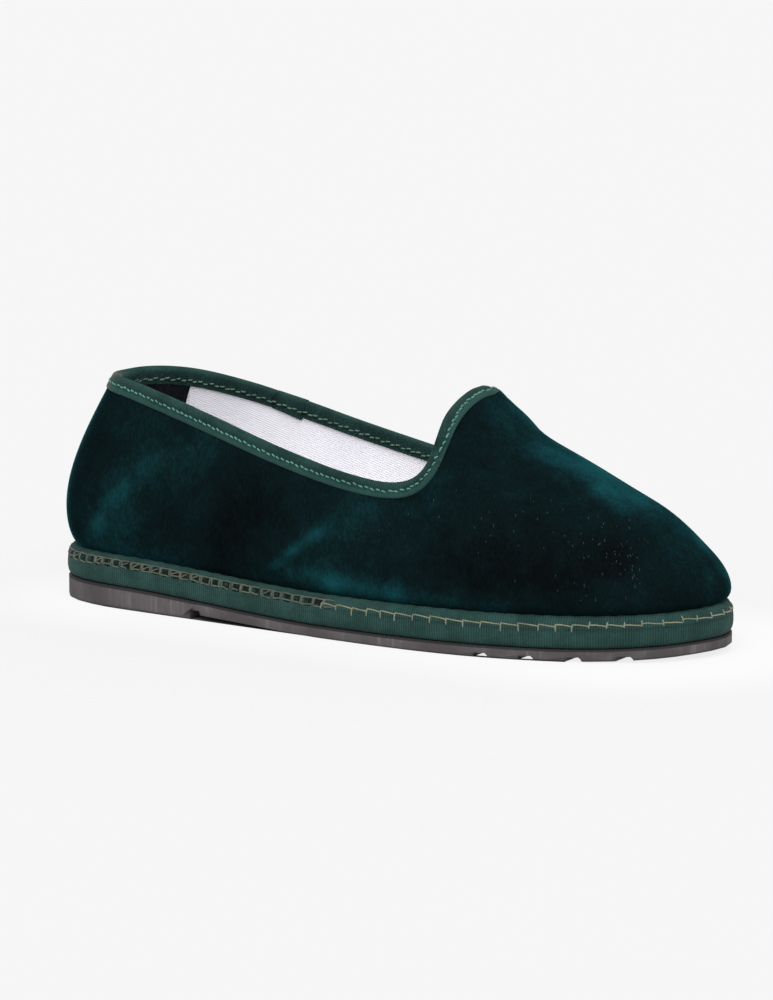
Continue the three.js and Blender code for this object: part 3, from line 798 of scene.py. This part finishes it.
# Stitches
# Light green thread holds the binding in two zigzag runs, one outside and one inside. Khaki linen thread
# sews the upper to the sole in blanket stitch, closer and doubled round the heel.
THREAD_TWIST = 0.35 * MM
THREAD_WEAR = 6 * MM
THREAD_RELIEF = 0.1 * MM
STITCH_BURIED = -0.2 * MM
STITCH_PROUD = 0.12 * MM
STITCH_PROFILE = ((-1, STITCH_BURIED), (-0.5, STITCH_PROUD), (0.5, STITCH_PROUD), (1, STITCH_BURIED))
COLLAR_STITCH = 2.2 * MM
COLLAR_THREAD = 0.6 * MM
COLLAR_STITCH_SLANT = 0.15 * MM
OUTSIDE_RUN_DOWN = 3.1 * MM
INSIDE_RUN_DOWN = 2.6 * MM
STEP_AHEAD = 0.5 * MM
PROBE_FROM = 6 * MM
PROBE_REACH = 10 * MM
PROBE_NEAR = 3 * MM
SOLE_THREAD = 0.5 * MM
SHOULDER_INSET = 2 * MM
ABOVE_SHOE = 60 * MM
LEG_PAIR = (-0.3 * MM, 0.35 * MM)
CROSSED_SHARE = 0.35
TOE_STITCH_FROM = 200 * MM
TOE_LEG = {"over": (1.6, 2.4), "under": (0.6, 1.4)}
SIDE_LEG = {"over": (0.4, 1), "under": (2, 3.2)}


def sewn(name, runs, thickness, finish, slot):
    """Lays a thread along each run of places and makes all of them one mesh."""
    curve = bpy.data.curves.new(name, "CURVE")
    curve.dimensions = "3D"
    curve.bevel_depth = thickness / 2
    curve.bevel_resolution = 1
    curve.use_fill_caps = True
    for run in runs:
        spline = curve.splines.new("POLY")
        spline.points.add(len(run) - 1)
        for point, place in zip(spline.points, run):
            point.co = (*place, 1)
    threads = bpy.data.objects.new(name, curve)
    bpy.context.scene.collection.objects.link(threads)
    select_only(threads)
    bpy.ops.object.convert(target="MESH")
    threads = bpy.context.object
    smooth(threads, SOFT_ANGLE)
    dress(threads, finish, slot)


def thread_finish(name, shade, light):
    thread = Finish(name, Roughness=0.7, Specular_IOR_Level=0.2, Sheen_Weight=0.2)
    place = thread.place()
    twist = thread.noise(place, THREAD_TWIST, 2)
    worn = thread.noise(place, THREAD_WEAR, 3)
    thread.set("Base Color", thread.mix((twist * 0.5 + worn * 0.5).between(0.3, 0.7), shade, light))
    thread.relief(twist, THREAD_RELIEF)
    return thread


random.seed(7)
binding_skin = surface_of(binding)
lap_skin = surface_of(lap)


def on_tape(distance, down, side, lift):
    """A place on the binding, this far round the rim and this far under it along the wall."""
    skin = lap_skin if LAP_FROM < distance < LAP_TO else binding_skin
    here = Vector(rim_string.place(distance))
    forward = (Vector(rim_string.place(distance + STEP_AHEAD)) - here).normalized()
    turn = distance % rim_string.length
    below = Vector([np.interp(turn, strip_around, strip_away[:, k]) for k in range(3)]).normalized()
    outward = side * below.cross(forward).normalized()
    start = here + below * down + outward * PROBE_FROM
    place, facing, _, _ = skin.ray_cast(start, -outward, PROBE_REACH)
    if place is None:
        place, facing, _, _ = skin.find_nearest(here + below * down + outward * PROBE_NEAR)
    return place + facing * lift


def shift(most):
    """A chance distance of up to that many millimetres to either side."""
    return random.uniform(-most, most) * MM


def collar_run(side, down, length, zigzag):
    """The stitches on the outer side of the binding, or with -1 on its inner side."""
    runs = []
    for i in range(round(rim_string.length / COLLAR_STITCH)):
        middle = (i + random.uniform(-0.08, 0.08)) * COLLAR_STITCH
        here = down + zigzag * (1 if i % 2 else -1) + shift(0.1)
        runs.append([
            on_tape(middle + step * length / 2, here + step * COLLAR_STITCH_SLANT, side, lift)
            for step, lift in STITCH_PROFILE
        ])
    return runs


green_thread = thread_finish("green_thread", screen(50, 104, 94), screen(84, 144, 128))
olive_thread = thread_finish("olive_thread", screen(50, 88, 74), screen(98, 128, 106))
outside_run = collar_run(1, OUTSIDE_RUN_DOWN, 1.3 * MM, 0.13 * MM)
inside_run = collar_run(-1, INSIDE_RUN_DOWN, 1.5 * MM, 0.3 * MM)
sewn("collar_stitches_outside", outside_run, COLLAR_THREAD, green_thread, "collar_tape")
sewn("collar_stitches_inside", inside_run, COLLAR_THREAD, olive_thread, "collar_tape")


def on_band(distance, down, lift):
    """A place on the band, this far round and this far under its shoulder."""
    flat = sole_string.place(distance)
    ahead = sole_string.place(distance + STEP_AHEAD)
    out = Vector((ahead[1] - flat[1], flat[0] - ahead[0], 0)).normalized()
    shoulder = band_skin.find_nearest(Vector((*flat, ABOVE_SHOE)) - out * SHOULDER_INSET)[0]
    near = Vector((*flat, shoulder.z - down)) + out * SHOULDER_INSET
    place, facing, _, _ = band_skin.find_nearest(near)
    return place + facing * lift


def strand(start, end):
    """One length of thread over the band between two places, given as distance round and down."""
    steps = max(4, round(abs(end[0] - start[0]) / MM))
    return [
        on_band(
            start[0] + (end[0] - start[0]) * k / steps,
            start[1] + (end[1] - start[1]) * k / steps,
            STITCH_PROUD if 0 < k < steps else STITCH_BURIED,
        )
        for k in range(steps + 1)
    ]


def close_run():
    """The stitches round the heel: doubled legs between two loose runs. The band's material paints shade in
    each cell between them.
    """
    runs = []
    pitch = sole_string.length / CLOSE_STITCHES
    for i in range(CLOSE_STITCHES):
        spot = i * pitch + shift(0.4)
        if sole_string.place(spot)[0] < CLOSE_STITCH_TO:
            top, low = CLOSE_LINE + shift(0.3), CLOSE_LOW + shift(0.4)
            following = spot + pitch + shift(0.5)
            runs.append(strand((spot, top), (following, CLOSE_LINE + shift(0.3))))
            end = following - random.uniform(0, 1.5) * MM
            runs.append(strand((spot + 0.4 * MM, low), (end, low + shift(0.6))))
            for side in LEG_PAIR:
                foot = spot + side + shift(0.5)
                runs.append(strand((spot + side, top - 0.3 * MM), (foot, low + shift(0.4))))
            if random.random() < CROSSED_SHARE:
                runs.append(strand((spot, low), (following - 1 * MM, top + 0.8 * MM)))
    return runs


def blanket_run():
    """The stitches round the rest of the sole: a run along the band, with a leg at each stitch."""
    runs = []
    spot = 0.0
    while spot < sole_string.length:
        x = sole_string.place(spot)[0]
        pitch = SOLE_STITCH * random.uniform(0.85, 1.15)
        line = SOLE_LINE + shift(0.3)
        if x > CLOSE_STITCH_TO - SOLE_STITCH:
            leg = TOE_LEG if x > TOE_STITCH_FROM else SIDE_LEG
            over = random.uniform(*leg["over"]) * MM
            under = random.uniform(*leg["under"]) * MM
            runs.append(strand((spot, line - 0.4 * MM), (spot + pitch, line + 0.4 * MM)))
            runs.append(strand((spot, line - over), (spot + shift(0.4), line + under)))
        spot += pitch
    return runs


khaki_thread = thread_finish("khaki_linen_thread", screen(84, 90, 72), screen(134, 134, 106))
dull_thread = thread_finish("dull_linen_thread", screen(40, 54, 48), screen(94, 97, 76))
sewn("sole_stitches", blanket_run(), SOLE_THREAD, khaki_thread, "sole_tape")
sewn("heel_stitches", close_run(), SOLE_THREAD, dull_thread, "sole_tape")


# Lint
# Short pale fibres caught in the pile, most of them low on the outer side of the vamp.
LINT_FIBRE = 0.2 * MM
LINT_LENGTH = 1.3 * MM
LINT_COUNT = 240
LINT_SLANT = 0.4
LINT_ROOT = 0.1 * MM
LINT_TOP = 0.22 * MM
LINT_FIELD = {"from": (112, -44, 20), "to": (222, -18, 62)}
velvet_skin = surface_of(velvet)


def lint_runs():
    runs = []
    low, high = Vector(LINT_FIELD["from"]) * MM, Vector(LINT_FIELD["to"]) * MM
    for _ in range(LINT_COUNT):
        near = Vector(random.uniform(low[k], high[k]) for k in range(3))
        place, facing, _, _ = velvet_skin.find_nearest(near)
        slant = [random.uniform(-LINT_SLANT, LINT_SLANT) for _ in range(2)]
        lie = Vector((*slant, 1)).normalized()
        lie = (lie - facing * lie.dot(facing)) * random.uniform(0.3, 1) * LINT_LENGTH
        root, top = place + facing * LINT_ROOT, place + facing * LINT_TOP
        runs.append([root, top + lie / 2, root + lie])
    return runs


lint_finish = thread_finish("lint", screen(16, 30, 31), screen(42, 60, 58))
sewn("lint_on_pile", lint_runs(), LINT_FIBRE, lint_finish, "velvet")


# Insole
# A thin footbed covered with the same white twill as the lining.
INSOLE_SPREAD = (1.008, 1.02, 1)
INSOLE_EDGE = 0.5 * MM

insole = merged_copy("insole", "twill_insole")
edit(insole)
bpy.ops.mesh.select_all(action="SELECT")
bpy.ops.transform.resize(value=INSOLE_SPREAD, center_override=(sum(c[0] for c in cad_box) / 2, 0, 0))
close(insole)
bevel(insole, INSOLE_EDGE)
smooth(insole, SOLE_ANGLE)
dress(insole, twill_finish("footbed_twill", "Y"), "lining", "insole")


# Studio
# A plain white floor that glows, with a painted glow round the shoe and a sheet of painted shadow under
# the sole, soft light, and the camera at the photo's angle to the shoe.
AZIMUTH = math.radians(30)
ELEVATION = math.radians(9.2)
DISTANCE = 1.5
LENS = 148
FLOOR_SIZE = 60
BACKGROUND = screen(246, 246, 246)
HALO_GLOW = screen(254, 254, 254)
FLOOR_ALBEDO = 0.12
SUN = 2.2
SUN_HEIGHT = math.radians(52)
SUN_SIDE = math.radians(25)
SUN_SOFTNESS = math.radians(50)
HALO_FROM = 5 * MM
HALO_TO = 190 * MM
HALO_REACH = (85 * MM, 32 * MM)
HALO_LEAN = 0.075
HEEL_SHADE = (1.5 * MM, 30 * MM)
TREAD_SHADE = (0.8 * MM, 4.5 * MM)
TOE_SHADE = (16 * MM, 30 * MM)
TREAD_FROM = 130 * MM
TOE_FROM = 199 * MM
SHADE_OVER_FLOOR = 0.01 * MM


def grey(light):
    return (light, light, light, 1)


bpy.ops.object.select_all(action="DESELECT")
bpy.ops.mesh.primitive_plane_add(size=FLOOR_SIZE, location=(0, 0, 0))
floor = bpy.context.object
floor.name = "studio_floor"
paper = Finish("white_paper", Roughness=1.0, Specular_IOR_Level=0.0, Emission_Strength=1.0)
floor_light = BACKGROUND[0] + SUN * math.sin(SUN_HEIGHT) / math.pi
far_glow = BACKGROUND[0] - FLOOR_ALBEDO * floor_light
near_glow = HALO_GLOW[0] - FLOOR_ALBEDO * floor_light
paper.set("Base Color", grey(FLOOR_ALBEDO))
place = paper.place()
along, across = paper.along(place, "X"), paper.along(place, "Y")
# Painted glow: the floor's emission rises to a brighter halo round the shoe.
beyond = along - along.held(HALO_FROM, HALO_TO)
off = (beyond * beyond + across * across) ** 0.5 - along * HALO_LEAN
paper.set("Emission Color", paper.mix(off.between(*HALO_REACH), grey(far_glow), grey(near_glow)))
floor.data.materials.append(paper.material)

# Painted shadow: a dark sheet just over the floor under the sole, set in from its edge.
outline = [Vector(spot) for spot in sole_string.knots[:-1]]
outline_middle = sum(outline, Vector((0, 0))) / len(outline)
shade_ring = []
for spot in outline:
    inwards = (outline_middle - spot).normalized()
    insets = HEEL_SHADE if spot.x < TREAD_FROM else TREAD_SHADE if spot.x < TOE_FROM else TOE_SHADE
    shade_ring += [(*(spot + inwards * inset), SHADE_OVER_FLOOR) for inset in insets]
corners = len(shade_ring)
strips = [(k, (k + 2) % corners, (k + 3) % corners, k + 1) for k in range(0, corners, 2)]
shade_mesh = bpy.data.meshes.new("floor_shade")
shade_mesh.from_pydata(shade_ring, [], strips)
floor_shade = bpy.data.objects.new("floor_shade", shade_mesh)
bpy.context.scene.collection.objects.link(floor_shade)
dim_paper = Finish("white_paper_in_shade", Roughness=1.0, Specular_IOR_Level=0.0)
dim_paper.set("Base Color", grey(FLOOR_ALBEDO))
shade_mesh.materials.append(dim_paper.material)

scene = bpy.context.scene
scene.view_settings.view_transform = "Standard"
world = bpy.data.worlds.new("white_studio")
world.use_nodes = True
world.node_tree.nodes["Background"].inputs["Color"].default_value = BACKGROUND
scene.world = world

bpy.ops.object.light_add(type="SUN", rotation=(math.pi / 2 - SUN_HEIGHT, 0, SUN_SIDE))
sun = bpy.context.object
sun.name = "overhead_light"
sun.data.energy = SUN
sun.data.angle = SUN_SOFTNESS

middle = (Vector(cad_box[0]) + Vector(cad_box[1])) / 2
sight = Vector((
    math.sin(AZIMUTH) * math.cos(ELEVATION),
    -math.cos(AZIMUTH) * math.cos(ELEVATION),
    math.sin(ELEVATION),
))
turned = sight.to_track_quat("Z", "Y").to_euler()
bpy.ops.object.camera_add(location=middle + sight * DISTANCE, rotation=turned)
camera = bpy.context.object
camera.data.lens = LENS
scene.camera = camera
